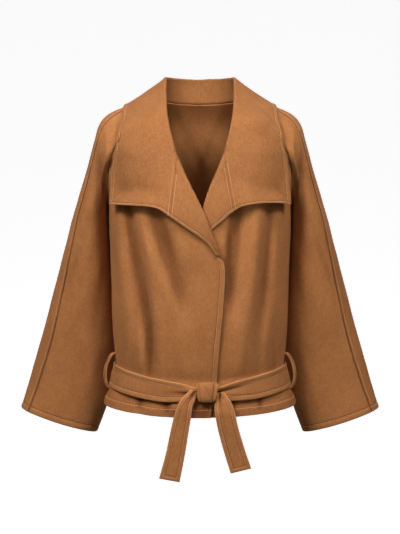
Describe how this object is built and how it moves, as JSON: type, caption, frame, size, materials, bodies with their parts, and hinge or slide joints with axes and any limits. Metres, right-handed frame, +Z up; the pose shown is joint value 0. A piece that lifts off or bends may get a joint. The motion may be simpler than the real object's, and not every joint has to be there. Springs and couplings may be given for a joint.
{
  "type": "jacket",
  "caption": "Short suede jacket with an open wrap front, a wide wing collar, wide raglan sleeves and a tied belt, filled out as if worn.",
  "frame": {"origin": "middle of the wearer's neck base, level with the neck seam", "axes": "+Z up, -Y forward out of the wearer's chest, +X to the wearer's left"},
  "size_m": [0.7242, 0.2689, 0.7866],
  "materials": {
    "suede": "soft napped suede, matt",
    "suede_trim": "smooth side of the same suede, matt"
  },
  "bodies": {
    "root": {"back_panel": "suede", "front_right": "suede", "front_left": "suede", "lapel_right": "suede", "lapel_left": "suede", "collar": "suede", "neck_tape": "suede_trim", "sleeve_right_front": "suede", "sleeve_right_back": "suede", "sleeve_left_front": "suede", "sleeve_left_back": "suede", "belt_band": "suede", "belt_knot": "suede", "belt_tail_right": "suede", "belt_tail_left": "suede", "belt_loop_right": "suede", "belt_loop_left": "suede"}
  },
  "joints": []
}
